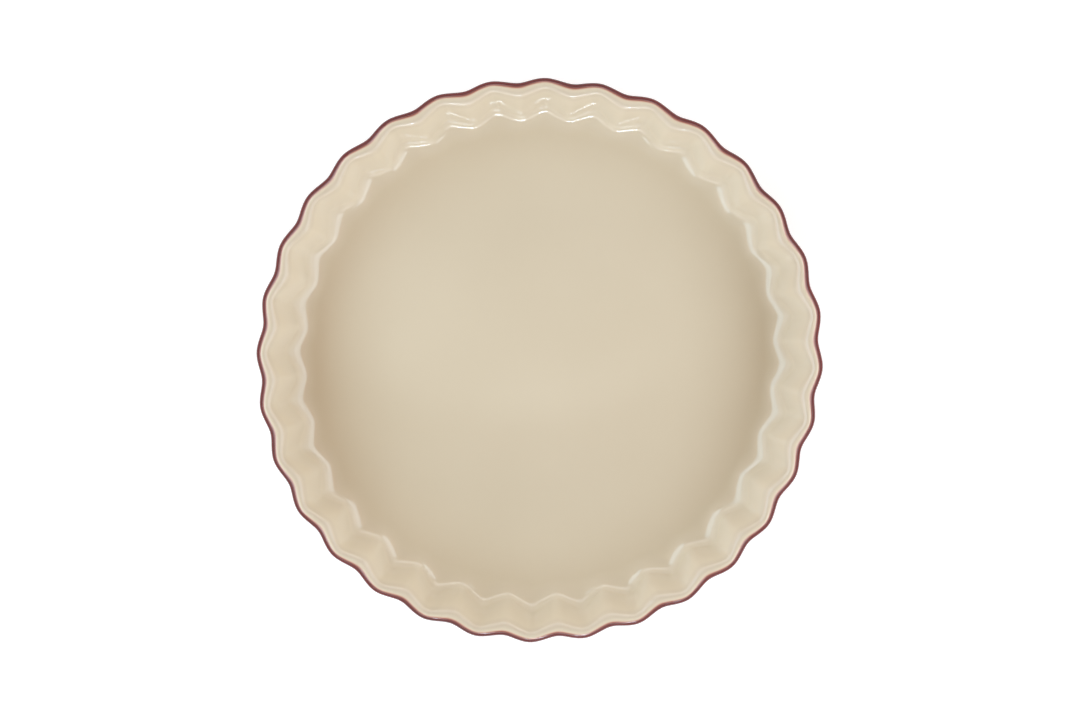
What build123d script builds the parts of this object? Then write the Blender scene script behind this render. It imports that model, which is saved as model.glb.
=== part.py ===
"""A round fluted pie dish in glazed stoneware, 280 mm over the flutes and 40 mm high.

Lengths are in millimetres and angles in degrees. The origin is on the dish's axis, in the
plane it stands on, with +Z up. A flute crest points along +X.

The dish is one fired piece, so its parts are the clay and the three coats of glaze on it:
the pale one inside and over the lip, the red one outside, and the red disc under the floor.
The foot ring is left bare. The glaze is the surface that shows, so every size below is
taken over it, and the clay lies one glaze thickness inside.
"""
from build123d import *
import os
from math import asin, atan2, cos, dist, pi, sin, tan

os.makedirs("parts", exist_ok=True)

# Whole dish
crest_radius = 140.0
dish_height = 40.0
wall_lean = 16.5
glaze_thickness = 0.5

# Flutes, which run from the base to the lip
flute_count = 32
outer_lip_flute_depth = 2.5
outer_base_flute_depth = 2.2
inner_lip_flute_depth = 3.5
inner_floor_flute_depth = 3.0
outer_crest_rounding = 11.0
outer_hollow_rounding = 10.0
inner_crest_rounding = 5.0
inner_hollow_rounding = 9.0

# Lip
lip_outer_rounding = 4.0
lip_inner_rounding = 2.0
lip_flat = 0.6
glaze_line_drop = 0.8

# Floor, base and foot ring
floor_thickness = 6.0
floor_fillet = 9.5
base_rounding = 7.0
foot_height = 1.0
foot_outer_radius = 117.0
foot_inner_radius = 111.0
foot_taper = 0.8
cut_overrun = 2.0

# How many straight bands stand for each round edge, and rounds of working out a corner
lip_outer_bands = 2
lip_inner_bands = 2
base_bands = 2
floor_bands = 2
clay_bands = 2
settling_rounds = 8

# Places that follow from the sizes above
lean = wall_lean * pi / 180
half_pitch = pi / flute_count
lip_radius = crest_radius - outer_lip_flute_depth / 2
lip_outer_centre = lip_radius - lip_outer_rounding
lip_inner_centre = lip_outer_centre - lip_flat
underside = foot_height
clay_underside = underside + glaze_thickness
floor_top = underside + floor_thickness
glaze_line = dish_height - glaze_line_drop


def on_circle(centre, rounding, angle):
    """A profile point, as distance from the axis and height, on a rounded edge."""
    return centre[0] + rounding * cos(angle), centre[1] + rounding * sin(angle)


def round_edge(centre, rounding, start, end, bands):
    """Profile points along a rounded edge, both ends included."""
    angles = [start + (end - start) * band / bands for band in range(bands + 1)]
    return [on_circle(centre, rounding, angle) for angle in angles]


def cut_corners(centre, rounding, start, end, cuts):
    """Corners where straight cuts along the outside of a rounded edge meet."""
    half_cut = (end - start) / cuts / 2
    angles = [start + half_cut * (2 * cut + 1) for cut in range(cuts)]
    return [on_circle(centre, rounding / cos(half_cut), angle) for angle in angles]


def wall_centre(wall_top, height, rounding):
    """Centre, at a height, of a rounding that a wall leaning down from its top runs into."""
    drop = wall_top[1] - height
    return wall_top[0] - drop * tan(lean) - rounding / cos(lean), height


lip_outer = (lip_outer_centre, dish_height - lip_outer_rounding)
lip_inner = (lip_inner_centre, dish_height - lip_inner_rounding)
outer_wall_top = on_circle(lip_outer, lip_outer_rounding, 0)
inner_wall_top = on_circle(lip_inner, lip_inner_rounding, pi - lean)
base_corner = wall_centre(outer_wall_top, underside + base_rounding, base_rounding)
floor_corner = wall_centre(inner_wall_top, floor_top + floor_fillet, floor_fillet)


def flute_depth(height, low, high, low_depth, high_depth):
    """Depth of the flutes at a height, growing evenly from the base to the lip."""
    share = min(max((height - low) / (high - low), 0), 1)
    return low_depth + (high_depth - low_depth) * share


def outer_depth(height):
    return flute_depth(height, underside, lip_outer[1], outer_base_flute_depth, outer_lip_flute_depth)


def inner_depth(height):
    return flute_depth(height, floor_top, lip_inner[1], inner_floor_flute_depth, inner_lip_flute_depth)


def around(radius, angle):
    """A point at a distance and a direction from the axis."""
    return radius * cos(angle), radius * sin(angle)


def towards(start, end, run):
    """The point that lies a run away from the start, towards the end."""
    share = run / dist(start, end)
    return start[0] + (end[0] - start[0]) * share, start[1] + (end[1] - start[1]) * share


def sharp_corners(crest, hollow, crest_rounding, hollow_rounding):
    """The sharp corners that reach crest and hollow once rounded, and where rounding ends.

    Gives the distances of both corners from the axis, and the length of straight side that
    each one's rounding takes up.
    """
    tip, root = crest, hollow
    for settling in range(settling_rounds):
        tip_angle = atan2(root * sin(half_pitch), tip - root * cos(half_pitch))
        root_angle = atan2(tip * sin(half_pitch), tip * cos(half_pitch) - root)
        tip = crest + crest_rounding * (1 / sin(tip_angle) - 1)
        root = hollow - hollow_rounding * (1 / sin(root_angle) - 1)
    return tip, root, crest_rounding / tan(tip_angle), hollow_rounding / tan(root_angle)


def glazed_section(radius, height, depth, crest_rounding, hollow_rounding):
    """A level section of the glaze's surface, with its crests and hollows rounded."""
    crest, hollow = radius + depth / 2, radius - depth / 2
    tip, root, crest_run, hollow_run = sharp_corners(crest, hollow, crest_rounding, hollow_rounding)
    this_tip, next_tip = around(tip, 0), around(tip, 2 * half_pitch)
    last_root, next_root = around(root, -half_pitch), around(root, half_pitch)
    crest_start = towards(this_tip, last_root, crest_run)
    crest_end = towards(this_tip, next_root, crest_run)
    hollow_start = towards(next_root, this_tip, hollow_run)
    hollow_end = towards(next_root, next_tip, hollow_run)
    with BuildLine() as flute:
        ThreePointArc(crest_start, around(crest, 0), crest_end)
        Line(crest_end, hollow_start)
        ThreePointArc(hollow_start, around(hollow, half_pitch), hollow_end)
        Line(hollow_end, towards(next_tip, next_root, crest_run))
    with BuildSketch(Plane.XY.offset(height)) as section:
        with BuildLine():
            with PolarLocations(0, flute_count):
                add(flute.line)
        make_face()
    return section.sketch


def clay_section(radius, height, depth):
    """A level section of the clay, whose flutes meet in creases that the glaze softens."""
    corners = []
    for flute in range(flute_count):
        angle = 2 * half_pitch * flute
        corners.append(around(radius + depth / 2, angle))
        corners.append(around(radius - depth / 2, angle + half_pitch))
    with BuildSketch(Plane.XY.offset(height)) as section:
        with BuildLine():
            Polyline(corners, close=True)
        make_face()
    return section.sketch


def outer_glazed(profile):
    return [
        glazed_section(radius, height, outer_depth(height), outer_crest_rounding, outer_hollow_rounding)
        for radius, height in profile
    ]


def inner_glazed(profile):
    return [
        glazed_section(radius, height, inner_depth(height), inner_crest_rounding, inner_hollow_rounding)
        for radius, height in profile
    ]


def outer_clay(profile):
    return [clay_section(radius, height, outer_depth(height)) for radius, height in profile]


def inner_clay(profile):
    return [clay_section(radius, height, inner_depth(height)) for radius, height in profile]


# Profiles of the glazed surface, each from the bottom up
glaze_line_angle = asin((glaze_line - lip_outer[1]) / lip_outer_rounding)
outer_profile = (
    round_edge(base_corner, base_rounding, -pi / 2, -lean, base_bands)
    + round_edge(lip_outer, lip_outer_rounding, 0, glaze_line_angle, lip_outer_bands)
)
cap_profile = round_edge(lip_outer, lip_outer_rounding, glaze_line_angle, pi / 2, 1)
cavity_profile = (
    round_edge(floor_corner, floor_fillet, -pi / 2, -lean, floor_bands)
    + round_edge(lip_inner, lip_inner_rounding, pi - lean, pi / 2, lip_inner_bands)
)
mouth = (cavity_profile[-1][0], dish_height + cut_overrun)

# Profiles of the clay, one glaze thickness inside
clay_outer_profile = (
    round_edge(base_corner, base_rounding - glaze_thickness, -pi / 2, -lean, clay_bands)
    + round_edge(lip_outer, lip_outer_rounding - glaze_thickness, 0, pi / 2, clay_bands)
)
clay_cavity_profile = (
    cut_corners(floor_corner, floor_fillet + glaze_thickness, -pi / 2, -lean, clay_bands)
    + round_edge(lip_inner, lip_inner_rounding - glaze_thickness, pi - lean, pi / 2, 1)
)
clay_mouth = (clay_cavity_profile[-1][0], dish_height + cut_overrun)

# The foot ring narrows towards the table, so its sides lean in from the clay's underside
foot_shift = foot_taper * (clay_underside - underside) / clay_underside
foot_outer_side = [(foot_outer_radius - foot_taper, 0), (foot_outer_radius, clay_underside)]
foot_inner_side = [(foot_inner_radius, clay_underside), (foot_inner_radius + foot_taper, 0)]

# Clay without its cavity and its foot, which the glaze on the outside is trimmed to
with BuildPart() as clay_envelope:
    loft(outer_clay(clay_outer_profile), ruled=True)

# Clay: floor, fluted wall and lip, with the bare tapered ring that it stands on
with BuildPart() as stoneware_body:
    add(clay_envelope.part)
    loft(inner_clay(clay_cavity_profile + [clay_mouth]), ruled=True, mode=Mode.SUBTRACT)
    with BuildSketch(Plane.XZ):
        with BuildLine():
            Polyline(foot_outer_side + foot_inner_side, close=True)
        make_face()
    revolve(axis=Axis.Z)

# Red glaze outside, from the foot ring round the base and up the wall to the glaze line
with BuildPart() as exterior_glaze:
    loft(outer_glazed(outer_profile), ruled=True)
    add(clay_envelope.part, mode=Mode.SUBTRACT)
    with BuildSketch(Plane.XZ):
        with BuildLine():
            Polyline([(0, 0)] + foot_outer_side + [(0, clay_underside)], close=True)
        make_face()
    revolve(axis=Axis.Z, mode=Mode.SUBTRACT)

# Pale glaze inside: floor, wall and lip, and over the lip's shoulder to the glaze line
with BuildPart() as interior_glaze:
    loft(outer_glazed(cap_profile), ruled=True)
    add(clay_envelope.part, mode=Mode.SUBTRACT)
    loft(inner_clay(clay_cavity_profile), ruled=True)
    loft(inner_glazed(cavity_profile + [mouth]), ruled=True, mode=Mode.SUBTRACT)

# Red glaze under the floor, inside the foot ring
with BuildPart() as base_glaze:
    with BuildSketch(Plane.XZ):
        with BuildLine():
            Polyline(
                (0, underside),
                (foot_inner_radius + foot_shift, underside),
                (foot_inner_radius, clay_underside),
                (0, clay_underside),
                close=True,
            )
        make_face()
    revolve(axis=Axis.Z)

stoneware_body.part.label = "stoneware_body"
exterior_glaze.part.label = "exterior_glaze"
interior_glaze.part.label = "interior_glaze"
base_glaze.part.label = "base_glaze"

export_step(stoneware_body.part, "parts/stoneware_body.step")
export_step(exterior_glaze.part, "parts/exterior_glaze.step")
export_step(interior_glaze.part, "parts/interior_glaze.step")
export_step(base_glaze.part, "parts/base_glaze.step")
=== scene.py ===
"""Looks of the fluted pie dish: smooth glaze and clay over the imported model, light and camera.

Lengths on the dish are written in millimetres and angles in degrees, and are turned into
metres and radians where a mesh or a light is made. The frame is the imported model's: the
origin on the dish's axis in the plane it stands on, +Z up, a flute crest along +X.
"""

from math import asin, cos, degrees, pi, radians, sin, tan

import bmesh
import bpy
import numpy as np
from mathutils import Matrix, Vector


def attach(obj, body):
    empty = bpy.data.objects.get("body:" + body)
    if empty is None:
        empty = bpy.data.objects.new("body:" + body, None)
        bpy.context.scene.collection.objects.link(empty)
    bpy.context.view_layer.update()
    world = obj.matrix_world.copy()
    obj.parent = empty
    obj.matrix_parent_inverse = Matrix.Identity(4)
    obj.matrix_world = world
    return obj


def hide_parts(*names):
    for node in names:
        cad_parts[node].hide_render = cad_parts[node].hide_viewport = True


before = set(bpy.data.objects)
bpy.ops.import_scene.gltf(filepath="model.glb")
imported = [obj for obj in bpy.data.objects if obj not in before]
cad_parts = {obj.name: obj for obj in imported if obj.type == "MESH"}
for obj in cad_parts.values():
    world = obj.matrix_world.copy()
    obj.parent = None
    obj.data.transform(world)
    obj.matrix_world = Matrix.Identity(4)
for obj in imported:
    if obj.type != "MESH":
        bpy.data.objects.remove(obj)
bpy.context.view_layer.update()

MM = 0.001

# Sizes of the glazed dish. The flutes inside and the fillet at their foot are as deep and as
# wide as in the photograph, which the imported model's facets don't allow, and the rest is its own
FLUTES = 32
LIP_RADIUS = 138.75
HEIGHT = 40.0
LEAN_DEGREES = 16.5
WALL_LEAN = radians(LEAN_DEGREES)
GLAZE = 0.5
OUTER_LIP_DEPTH, OUTER_BASE_DEPTH = 2.4, 2.2
INNER_LIP_DEPTH, INNER_FLOOR_DEPTH = 3.9, 5.0
LIP_OUTER_ROUNDING, LIP_INNER_ROUNDING = 4.0, 2.6
FLOOR_TOP, FLOOR_FILLET = 7.0, 9.2
FILLET_CHANGE = 1.9
FILLET_EASE, FILLET_EASE_TILT = 1.7, radians(30)
FLAT_FLOOR, FLUTED_FLOOR = 99.0, 118.0
FLOOR_MESH_EDGE = 100.0
UNDERSIDE, BASE_ROUNDING = 1.0, 7.0
FOOT_OUTER, FOOT_INNER, FOOT_TAPER = 117.0, 111.0, 0.8
FOOT_EDGE, FOOT_WEAR, FOOT_SIDE = 0.35, 0.1, 0.75
GLAZE_LINE = HEIGHT - 0.8
FOOT_FADE = 0.5

# Rounded edge of the red coat where it meets the foot: steps past the foot's side, and heights
BEAD_STEPS = ((-0.02, 0.03), (0.1, 0.2), (0.25, GLAZE))
BEAD_START = 0.5

# Rings of the mesh on flat parts, and the small ring round which a disc closes the middle
DISC_FLAT = 60.0
MIDDLE_RING = 2.0

# Shape of a flute: how much its crest is narrowed, and how far its flanks are straightened
OUTER_WAVE = (-0.08, 0.02)
INNER_WAVE = (0.06, 0.04)

# How far the fired dish is out of round, as waves round it: count, size and turn
OUT_OF_ROUND = (
    (2, 0.54, -73),
    (3, 0.25, -75),
    (4, 0.42, -159),
    (6, 0.10, -69),
    (7, 0.22, -52),
    (31, 0.14, 24),
    (33, 0.12, -159),
)
ROUND_LOSS = 0.15
ROUND_FROM, ROUND_TO = 40.0, 118.0
PHOTO_TURN = radians(1.57)
AROUND = FLUTES * 24  # points round the dish
ANGLE = np.linspace(0, 2 * pi, AROUND, endpoint=False)


def arc(centre, rounding, start, end, steps):
    """Profile points on a rounded edge, as distance from the axis and height."""
    angles = [radians(start + (end - start) * k / steps) for k in range(steps + 1)]
    return [(centre[0] + rounding * cos(a), centre[1] + rounding * sin(a)) for a in angles]


def between(start, end, steps):
    """Profile points between two others, both left out."""
    shares = [k / steps for k in range(1, steps)]
    return [tuple(a + (b - a) * share for a, b in zip(start, end)) for share in shares]


def wall_centre(wall_top, height, rounding):
    """Centre, at a height, of a rounding that a wall leaning down from its top runs into."""
    drop = wall_top[1] - height
    return wall_top[0] - drop * tan(WALL_LEAN) - rounding / cos(WALL_LEAN), height


lip_outer = (LIP_RADIUS - LIP_OUTER_ROUNDING, HEIGHT - LIP_OUTER_ROUNDING)
lip_inner = (lip_outer[0], HEIGHT - LIP_INNER_ROUNDING)
outer_wall_top = arc(lip_outer, LIP_OUTER_ROUNDING, -LEAN_DEGREES, 0, 1)[0]
inner_wall_top = arc(lip_inner, LIP_INNER_ROUNDING, 180 - LEAN_DEGREES, 0, 1)[0]
base_corner = wall_centre(outer_wall_top, UNDERSIDE + BASE_ROUNDING, BASE_ROUNDING)
wall_foot = inner_wall_top[0] - (inner_wall_top[1] - FLOOR_TOP) * tan(WALL_LEAN)
line_angle = degrees(asin((GLAZE_LINE - lip_outer[1]) / LIP_OUTER_ROUNDING))


def share_of(value, low, high):
    return np.clip((value - low) / (high - low), 0, 1)


def wave(angle, shape):
    """A flute's plan between 1 on its crest and -1 in its hollow."""
    narrow, straight = shape
    phase = FLUTES * angle
    return (
        np.cos(phase)
        + narrow * (np.cos(2 * phase) - 1) / 2
        + straight * (np.cos(3 * phase) - np.cos(phase))
    )


def out_of_round(angle):
    """How far a place round the dish lies inside its roundest outline."""
    total = sum(
        size * np.cos(count * (angle - PHOTO_TURN) + radians(turn))
        for count, size, turn in OUT_OF_ROUND
    )
    return total - ROUND_LOSS


def outer_flute(angle, height):
    share = share_of(height, UNDERSIDE, lip_outer[1])
    depth = OUTER_BASE_DEPTH + (OUTER_LIP_DEPTH - OUTER_BASE_DEPTH) * share
    return depth / 2 * wave(angle, OUTER_WAVE)


def inner_flute(angle, height):
    share = share_of(height, FLOOR_TOP, lip_inner[1])
    depth = INNER_FLOOR_DEPTH + (INNER_LIP_DEPTH - INNER_FLOOR_DEPTH) * share
    return depth / 2 * wave(angle, INNER_WAVE)


def no_flute(angle, height):
    return 0 * angle


def rings(profile, flute, fade=None):
    """Points on level rings through a profile, fluted by a function of angle and height."""
    return [
        ring(radius, height, flute, 1.0 if fade is None else share_of(radius, *fade))
        for radius, height in profile
    ]


def lip_rings(profile, start, end):
    """Rings over the lip, whose flutes go from the inner ones at 0 to the outer ones at 1."""
    loops = []
    for step, (radius, height) in enumerate(profile):
        share = start + (end - start) * step / (len(profile) - 1)

        def flute(angle, level):
            return (1 - share) * inner_flute(angle, level) + share * outer_flute(angle, level)

        loops.append(ring(radius, height, flute))
    return loops


def ring(radius, height, flute, share=1.0):
    """Points round the dish at a radius and a height, either of which may change on the way."""
    away = radius + share * flute(ANGLE, height)
    away = away + share_of(radius, ROUND_FROM, ROUND_TO) * out_of_round(ANGLE)
    return np.stack([away * np.cos(ANGLE), away * np.sin(ANGLE), height + 0 * ANGLE], 1)


def fillet_rings(thickness, angles):
    """Rings on the fillet at the wall's foot, which is wider in the grooves than on the ridges.

    Below a tilt it eases into the floor on a wider rounding.
    """
    upper = FLOOR_FILLET + FILLET_CHANGE * wave(ANGLE, INNER_WAVE)
    lower = upper * FILLET_EASE + thickness
    upper = upper + thickness

    def reach(tilt):
        low, high = min(tilt, FILLET_EASE_TILT), max(tilt, FILLET_EASE_TILT)
        return lower * sin(low) + upper * (sin(high) - sin(FILLET_EASE_TILT))

    def climb(tilt):
        low, high = min(tilt, FILLET_EASE_TILT), max(tilt, FILLET_EASE_TILT)
        return lower * (1 - cos(low)) + upper * (cos(FILLET_EASE_TILT) - cos(high))

    wall_tilt = pi / 2 - WALL_LEAN
    foot = wall_foot + thickness * (1 / cos(WALL_LEAN) - tan(WALL_LEAN))
    start = foot + climb(wall_tilt) * tan(WALL_LEAN) - reach(wall_tilt)
    tilts = [radians(angle + 90) for angle in angles]
    level = FLOOR_TOP - thickness
    return [ring(start + reach(tilt), level + climb(tilt), inner_flute) for tilt in tilts]


def blend_rings(start, end, steps):
    """Rings between two others, both left out."""
    return [start + (end - start) * k / steps for k in range(1, steps)]


def skin(name, loops, tints=None, open_middle=False):
    """A closed smooth mesh through rings of points.

    Where the middle is open the last ring joins the first, and elsewhere a disc closes each.
    """
    here = np.arange(AROUND)
    after = (here + 1) % AROUND
    last = len(loops) - 1
    pairs = [(ring, ring + 1) for ring in range(last)] + ([(last, 0)] if open_middle else [])
    rows = []
    for first, second in pairs:
        low, high = first * AROUND, second * AROUND
        rows += np.stack([low + here, low + after, high + after, high + here], 1).tolist()
    vertices = np.concatenate(loops)
    if not open_middle:
        centres = len(vertices), len(vertices) + 1
        vertices = np.concatenate([vertices, [np.mean(loops[0], 0)], [np.mean(loops[last], 0)]])
        rows += np.stack([np.full(AROUND, centres[0]), after, here], 1).tolist()
        top = last * AROUND
        rows += np.stack([np.full(AROUND, centres[1]), top + here, top + after], 1).tolist()
    mesh = bpy.data.meshes.new(name)
    mesh.from_pydata((vertices * MM).tolist(), [], rows)
    form = bmesh.new()
    form.from_mesh(mesh)
    if form.calc_volume(signed=True) < 0:
        mesh.flip_normals()
    form.free()
    mesh.shade_smooth()
    if tints is not None:
        values = np.repeat(tints, AROUND)
        if not open_middle:
            values = np.concatenate([values, [tints[0], tints[last]]])
        attribute = mesh.attributes.new("glaze_run", "FLOAT", "POINT")
        attribute.data.foreach_set("value", values.astype(np.float32))
    piece = bpy.data.objects.new(name, mesh)
    bpy.context.scene.collection.objects.link(piece)
    return piece


def run_from_line(loops):
    """Distance of each ring's middle from the glaze line."""
    start = arc(lip_outer, LIP_OUTER_ROUNDING, line_angle, 0, 1)[0]
    middles = [(np.hypot(loop[:, 0], loop[:, 1]).mean(), loop[:, 2].mean()) for loop in loops]
    return [float(np.hypot(r - start[0], z - start[1])) for r, z in middles]


# Pale glaze: floor, fillet, wall and lip as far as the glaze line, and back along the clay
fillet_steps = np.linspace(-90, -LEAN_DEGREES, 17)
fillet = fillet_rings(0, fillet_steps)
lip_inside = arc(lip_inner, LIP_INNER_ROUNDING, 180 - LEAN_DEGREES, 90, 10)
cap_profile = arc(lip_outer, LIP_OUTER_ROUNDING, 90, line_angle, 8)
cap_back = arc(lip_outer, LIP_OUTER_ROUNDING - GLAZE, line_angle, 90, 5)
lip_back = arc(lip_inner, LIP_INNER_ROUNDING - GLAZE, 90, 180 - LEAN_DEGREES, 4)
lip_front = lip_rings(lip_inside, 0.0, 0.5) + lip_rings(cap_profile, 0.5, 1.0)[1:]
lip_behind = lip_rings(cap_back, 1.0, 0.5) + lip_rings(lip_back, 0.5, 0.0)[1:]
floor_profile = between((0, FLOOR_TOP), (FLOOR_MESH_EDGE, FLOOR_TOP), 12)
floor_fade = (FLAT_FLOOR, FLUTED_FLOOR)
floor_middle = rings([(MIDDLE_RING, FLOOR_TOP)] + floor_profile, inner_flute, floor_fade)
floor_edge = blend_rings(floor_middle[-1], fillet[0], 8)
wall = blend_rings(fillet[-1], lip_front[0], 14)
back_fillet = fillet_rings(GLAZE, fillet_steps[::-2])
back_wall = blend_rings(lip_behind[-1], back_fillet[0], 4)
back_profile = [(DISC_FLAT, FLOOR_TOP - GLAZE), (MIDDLE_RING, FLOOR_TOP - GLAZE)]
back_floor = rings(back_profile, inner_flute, floor_fade)
cream_front = floor_middle + floor_edge + fillet + wall + lip_front
cream_back = lip_behind + back_wall + back_fillet + back_floor
cream_loops = cream_front + cream_back
cream = skin("cream_interior", cream_loops, run_from_line(cream_loops))

# Red glaze outside: from the glaze line over the lip, down the wall and round to the foot
lip_outside = arc(lip_outer, LIP_OUTER_ROUNDING, line_angle, -LEAN_DEGREES, 14)
base_round = arc(base_corner, BASE_ROUNDING, -LEAN_DEGREES, -90, 12)
clay_under = UNDERSIDE + GLAZE
foot_shift = FOOT_TAPER * GLAZE / clay_under
foot_line = FOOT_OUTER - foot_shift
foot_meeting = (foot_line, UNDERSIDE)
base_flat = between(base_round[-1], foot_meeting, 5)
foot_bead = [(foot_line + step, UNDERSIDE + rise) for step, rise in BEAD_STEPS]
base_back = arc(base_corner, BASE_ROUNDING - GLAZE, -90, -LEAN_DEGREES, 5)
lip_out_back = arc(lip_outer, LIP_OUTER_ROUNDING - GLAZE, -LEAN_DEGREES, line_angle, 6)
red_front = lip_outside + between(lip_outside[-1], base_round[0], 14) + base_round
red_back = base_back + between(base_back[-1], lip_out_back[0], 4) + lip_out_back


def foot_rings(profile):
    return rings(profile, outer_flute, (FOOT_OUTER + FOOT_FADE, base_corner[0]))


red_loops = rings(red_front, outer_flute) + foot_rings(base_flat + foot_bead)
red_loops = red_loops + rings(red_back, outer_flute)
red_runs = [-run for run in run_from_line(red_loops)]
red = skin("red_exterior", red_loops, red_runs, open_middle=True)

# Red glaze disc inside the foot ring
disc_line = FOOT_INNER + foot_shift
disc_start = (disc_line - BEAD_START, UNDERSIDE)
disc_top = [(radius, clay_under) for radius in (MIDDLE_RING, DISC_FLAT)]
disc_bead = [(disc_line - step, UNDERSIDE + rise) for step, rise in BEAD_STEPS[::-1]]
disc_flat = [disc_start] + between(disc_start, (MIDDLE_RING, UNDERSIDE), 10)
disc_profile = disc_top + disc_bead + disc_flat + [(MIDDLE_RING, UNDERSIDE)]
red_disc = skin("red_base", rings(disc_profile, no_flute))

# Clay: one glaze thickness inside everywhere, with the bare ring that it stands on
sole_in = (FOOT_INNER + FOOT_TAPER + FOOT_EDGE, 0.0)
sole_out = (FOOT_OUTER - FOOT_TAPER - FOOT_EDGE, 0.0)
foot_in = [
    (FOOT_INNER + FOOT_TAPER * FOOT_SIDE, FOOT_EDGE),
    (FOOT_INNER + FOOT_TAPER + FOOT_WEAR, FOOT_WEAR),
]
foot_out = [
    (FOOT_OUTER - FOOT_TAPER - FOOT_WEAR, FOOT_WEAR),
    (FOOT_OUTER - FOOT_TAPER * FOOT_SIDE, FOOT_EDGE),
]
clay_foot = [(radius, clay_under) for radius in (MIDDLE_RING, DISC_FLAT, FOOT_INNER)] + foot_in
clay_foot += [sole_in] + between(sole_in, sole_out, 5) + [sole_out]
clay_foot += foot_out + [(FOOT_OUTER, clay_under)]
clay_loops = rings(clay_foot, no_flute) + rings(red_back[:-1], outer_flute) + cream_back
clay = skin("clay_body", clay_loops)

for piece, node, slot in (
    (cream, "interior_glaze", "cream_glaze"),
    (red, "exterior_glaze", "red_glaze"),
    (red_disc, "base_glaze", "red_glaze"),
    (clay, "stoneware_body", "bare_stoneware"),
):
    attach(piece, "root")
    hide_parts(node)


class Nodes:
    """A material's node tree, with short calls to add and join nodes."""

    def __init__(self, name):
        self.material = bpy.data.materials.new(name)
        self.material.use_nodes = True
        self.tree = self.material.node_tree
        self.shader = self.tree.nodes["Principled BSDF"]

    def add(self, kind, values=None, **settings):
        node = self.tree.nodes.new(kind)
        for key, value in settings.items():
            setattr(node, key, value)
        for key, value in (values or {}).items():
            if isinstance(value, bpy.types.NodeSocket):
                self.tree.links.new(value, node.inputs[key])
            else:
                node.inputs[key].default_value = value
        return node

    def join(self, socket, name):
        self.tree.links.new(socket, self.shader.inputs[name])

    def noise(self, where, scale, detail=3.0, roughness=0.5):
        values = {"Vector": where, "Scale": scale, "Detail": detail, "Roughness": roughness}
        return self.add("ShaderNodeTexNoise", values).outputs["Fac"]

    def ramp(self, value, stops, mode="LINEAR"):
        node = self.add("ShaderNodeValToRGB", {"Fac": value})
        node.color_ramp.interpolation = mode
        while len(node.color_ramp.elements) < len(stops):
            node.color_ramp.elements.new(0.5)
        for element, (place, colour) in zip(node.color_ramp.elements, stops):
            element.position = place
            element.color = (*colour, 1.0)
        return node.outputs["Color"]

    def mix(self, share, first, second, blend="MIX"):
        node = self.add("ShaderNodeMix", data_type="RGBA", blend_type=blend)
        sockets = node.inputs[0], node.inputs[6], node.inputs[7]
        for socket, value in zip(sockets, (share, first, second)):
            if isinstance(value, bpy.types.NodeSocket):
                self.tree.links.new(value, socket)
            else:
                socket.default_value = value
        return node.outputs[2]

    def span(self, value, low, high, to_low=0.0, to_high=1.0):
        values = {"Value": value, "From Min": low, "From Max": high}
        values.update({"To Min": to_low, "To Max": to_high})
        return self.add("ShaderNodeMapRange", values).outputs["Result"]


WHITE, BLACK = (1.0, 1.0, 1.0), (0.0, 0.0, 0.0)
CREAM_IOR, RED_IOR, RED_SPECULAR = 1.6, 1.45, 0.25
RIPPLE_SCALE, RIPPLE_DEPTH = 26.0, 0.004

# Glaze line: its colour, the run over which the red turns to it, and how far it wanders
LINE_COLOUR, LINE_RUN = (0.10, 0.018, 0.016), 0.6
WANDER_SCALE, WANDER = 55.0, 0.1

# Cream side of the line, as shares of a run: its tint fades out between two runs
TINT_RUN, TINT_FADE = 2.8, (0.9, 2.0)
CREAM_TINTS = (
    (0.0, LINE_COLOUR),
    (0.17, (0.17, 0.035, 0.03)),
    (0.34, (0.40, 0.165, 0.13)),
    (0.55, (0.62, 0.42, 0.32)),
)

# Painted shade in the cream's colour, as shares of a run from the line: about 10 % darker over the
# rim with a cool cast that stands in for reflected light, and 2 to 3 % darker down the wall
PAINTED_SHADE_RUN = 32.0
CREAM_PAINTED_SHADE = (
    (0.06, WHITE),
    (0.1, (0.9, 0.895, 0.915)),
    (0.15, (0.9, 0.895, 0.915)),
    (0.28, (0.975, 0.975, 0.975)),
    (0.75, (0.98, 0.98, 0.98)),
    (1.0, WHITE),
)


def cream_glaze():
    made = Nodes("cream_glaze")
    place = made.add("ShaderNodeTexCoord").outputs["Object"]
    run = made.add("ShaderNodeAttribute", attribute_name="glaze_run").outputs["Fac"]
    broad = made.noise(place, 9.0, 2.0)
    fine = made.noise(place, 160.0, 3.0)
    base = made.ramp(broad, [(0.3, (0.655, 0.575, 0.445)), (0.7, (0.69, 0.612, 0.482))])
    wander = made.span(made.noise(place, WANDER_SCALE, 2.0), 0.3, 0.7, -WANDER, WANDER)
    shifted = made.add("ShaderNodeMath", {0: run, 1: wander}, operation="ADD").outputs[0]
    # painted shade: the cream's colour is darkened over the rim and a little down the wall
    base = made.mix(1.0, base, made.ramp(made.span(run, 0.0, PAINTED_SHADE_RUN), CREAM_PAINTED_SHADE), "MULTIPLY")
    tint = made.ramp(made.span(shifted, 0.0, TINT_RUN), CREAM_TINTS)
    share = made.ramp(made.span(shifted, *TINT_FADE), [(0.0, WHITE), (1.0, BLACK)], "EASE")
    base = made.mix(share, base, tint)
    made.join(base, "Base Color")
    made.join(made.span(fine, 0.3, 0.7, 0.035, 0.06), "Roughness")
    made.shader.inputs["IOR"].default_value = CREAM_IOR
    ripple = made.noise(place, RIPPLE_SCALE, 2.0)
    values = {"Height": ripple, "Strength": 0.05, "Distance": RIPPLE_DEPTH}
    bump = made.add("ShaderNodeBump", values)
    made.join(bump.outputs["Normal"], "Normal")
    return made.material


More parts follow.
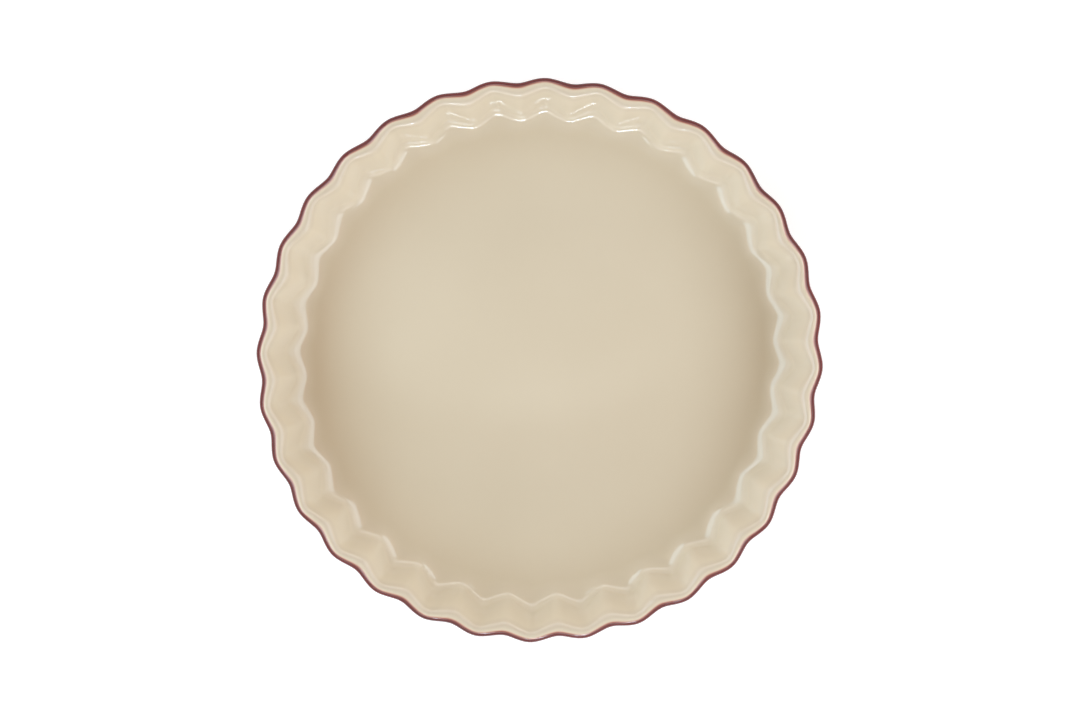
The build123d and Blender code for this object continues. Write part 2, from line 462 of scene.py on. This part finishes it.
def red_glaze():
    made = Nodes("red_glaze")
    place = made.add("ShaderNodeTexCoord").outputs["Object"]
    run = made.add("ShaderNodeAttribute", attribute_name="glaze_run").outputs["Fac"]
    broad = made.noise(place, 14.0, 3.0)
    base = made.ramp(broad, [(0.3, (0.085, 0.005, 0.005)), (0.7, (0.13, 0.008, 0.008))])
    wander = made.span(made.noise(place, WANDER_SCALE, 2.0), 0.3, 0.7, -WANDER, WANDER)
    shifted = made.add("ShaderNodeMath", {0: run, 1: wander}, operation="ADD").outputs[0]
    near = made.ramp(made.span(shifted, -LINE_RUN, 0.0), [(0.0, BLACK), (1.0, WHITE)], "EASE")
    base = made.mix(near, base, (*LINE_COLOUR, 1.0))
    made.shader.inputs["Specular IOR Level"].default_value = RED_SPECULAR
    made.join(base, "Base Color")
    made.join(made.span(made.noise(place, 150.0), 0.3, 0.7, 0.07, 0.13), "Roughness")
    made.shader.inputs["IOR"].default_value = RED_IOR
    ripple = made.noise(place, RIPPLE_SCALE, 2.0)
    values = {"Height": ripple, "Strength": 0.06, "Distance": RIPPLE_DEPTH}
    bump = made.add("ShaderNodeBump", values)
    made.join(bump.outputs["Normal"], "Normal")
    return made.material


def bare_clay():
    made = Nodes("bare_stoneware")
    place = made.add("ShaderNodeTexCoord").outputs["Object"]
    grain = made.noise(place, 900.0, 4.0, 0.6)
    broad = made.noise(place, 30.0, 3.0)
    base = made.ramp(broad, [(0.3, (0.50, 0.40, 0.28)), (0.7, (0.60, 0.50, 0.37))])
    specks = made.add("ShaderNodeTexVoronoi", {"Vector": place, "Scale": 420.0}).outputs["Distance"]
    dark = made.ramp(specks, [(0.0, (1, 1, 1)), (0.12, (0, 0, 0))])
    base = made.mix(dark, base, (0.30, 0.21, 0.13, 1.0))
    made.join(base, "Base Color")
    made.shader.inputs["Roughness"].default_value = 0.85
    bump = made.add("ShaderNodeBump", {"Height": grain, "Strength": 0.35, "Distance": 0.0003})
    made.join(bump.outputs["Normal"], "Normal")
    return made.material


red_material = red_glaze()
for piece, material in (
    (cream, cream_glaze()),
    (red, red_material),
    (red_disc, red_material),
    (clay, bare_clay()),
):
    piece.data.materials.append(material)

# Floor, white to the camera with the dish's shadow left on it, and white by itself far out
FLOOR_GLOW, FAR_GLOW = 0.45, 1.0
GLOW_FROM, GLOW_TO = 0.6, 1.3
FLOOR_REACH = 3.0
floor_mesh = bpy.data.meshes.new("floor")
corners = [(x * FLOOR_REACH, y * FLOOR_REACH, 0) for x, y in ((-1, -1), (1, -1), (1, 1), (-1, 1))]
floor_mesh.from_pydata(corners, [], [(0, 1, 2, 3)])
floor = bpy.data.objects.new("floor", floor_mesh)
bpy.context.scene.collection.objects.link(floor)
white = Nodes("floor_white")
white.shader.inputs["Base Color"].default_value = (0.8, 0.8, 0.8, 1.0)
white.shader.inputs["Roughness"].default_value = 0.9
path = white.add("ShaderNodeLightPath").outputs
seen = path["Is Camera Ray"]
for kind in ("Is Glossy Ray", "Is Transmission Ray"):
    seen = white.add("ShaderNodeMath", {0: seen, 1: path[kind]}, operation="ADD").outputs[0]
spot = white.add("ShaderNodeTexCoord").outputs["Object"]
away = white.add("ShaderNodeVectorMath", {0: spot}, operation="LENGTH").outputs["Value"]
strength = white.span(away, GLOW_FROM, GLOW_TO, FLOOR_GLOW, FAR_GLOW)
glow = white.add("ShaderNodeMath", {0: seen, 1: strength}, operation="MULTIPLY").outputs[0]
white.shader.inputs["Emission Color"].default_value = (1.0, 1.0, 1.0, 1.0)
white.join(glow, "Emission Strength")
floor_mesh.materials.append(white.material)

# World
world = bpy.data.worlds.new("studio")
bpy.context.scene.world = world
world.use_nodes = True
background = world.node_tree.nodes["Background"]
background.inputs["Color"].default_value = (1.0, 0.5, 0.12, 1.0)
background.inputs["Strength"].default_value = 0.21


def softbox(name, azimuth, elevation, distance, width, height, radiance):
    """A rectangular lamp that faces the dish, named by where it stands and how bright it looks."""
    lamp = bpy.data.lights.new(name, "AREA")
    lamp.shape = "RECTANGLE"
    lamp.size, lamp.size_y = width, height
    brightest = max(radiance)
    lamp.energy = brightest * pi * width * height
    lamp.color = [part / brightest for part in radiance]
    holder = bpy.data.objects.new(name, lamp)
    bpy.context.scene.collection.objects.link(holder)
    a, e = radians(azimuth), radians(elevation)
    out = Vector((cos(a) * cos(e), sin(a) * cos(e), sin(e)))
    holder.location = out * distance
    holder.rotation_mode = "QUATERNION"
    holder.rotation_quaternion = (-out).to_track_quat("-Z", "Y")
    return holder


# Lamps: direction and height in the sky, distance, width and height in metres, and radiance
LAMPS = (
    ("softbox_right", 0, 40.5, 1.5, 2.6, 0.72, (2.35, 2.7, 2.95)),
    ("softbox_left", 180, 40.5, 1.5, 2.6, 0.72, (2.3, 2.95, 3.35)),
    ("upper_right", 0, 62, 1.6, 1.6, 0.45, (0.35, 0.16, 0.14)),
    ("upper_left", 180, 62, 1.6, 1.6, 0.45, (0.69, 0.53, 0.43)),
    ("low_right", 0, 10.5, 1.5, 2.6, 0.36, (2.9, 2.95, 2.97)),
    ("low_left", 180, 10.5, 1.5, 2.6, 0.36, (2.67, 2.55, 2.75)),
    ("low_back", 90, 15, 1.6, 2.6, 0.66, (2.4, 2.46, 2.5)),
    ("lamp_front", -84.5, 17.5, 1.6, 0.76, 0.08, (25.0, 31.0, 37.0)),
    ("low_front", -90, 15, 1.7, 2.6, 0.66, (2.2, 2.15, 2.13)),
    ("overhead", 0, 90, 1.8, 1.0, 1.0, (0.23, 0.22, 0.11)),
)
for lamp_sizes in LAMPS:
    softbox(*lamp_sizes)

# Camera, almost overhead and a little towards +Y, turned as the photograph is
CAMERA_DISTANCE, CAMERA_TILT, CAMERA_LENS = 1.5, radians(2.8), 101.78
IMAGE_WIDTH, SHIFT_X, SHIFT_Y = 1080, 0.67, 0.6
view = bpy.data.cameras.new("camera")
view.lens = CAMERA_LENS
view.sensor_width = 36.0
camera = bpy.data.objects.new("camera", view)
bpy.context.scene.collection.objects.link(camera)
up = Vector((-sin(PHOTO_TURN), cos(PHOTO_TURN), 0))
target = Vector((0, 0, HEIGHT * MM))
back = (up * sin(CAMERA_TILT) + Vector((0, 0, cos(CAMERA_TILT)))).normalized()
across = up.cross(back).normalized()
camera_up = back.cross(across)
facing = Matrix((across, camera_up, back)).transposed().to_4x4()
camera.matrix_world = Matrix.Translation(target + back * CAMERA_DISTANCE) @ facing
view.shift_x, view.shift_y = SHIFT_X / IMAGE_WIDTH, SHIFT_Y / IMAGE_WIDTH
bpy.context.scene.camera = camera

bpy.context.scene.view_settings.view_transform = "Standard"
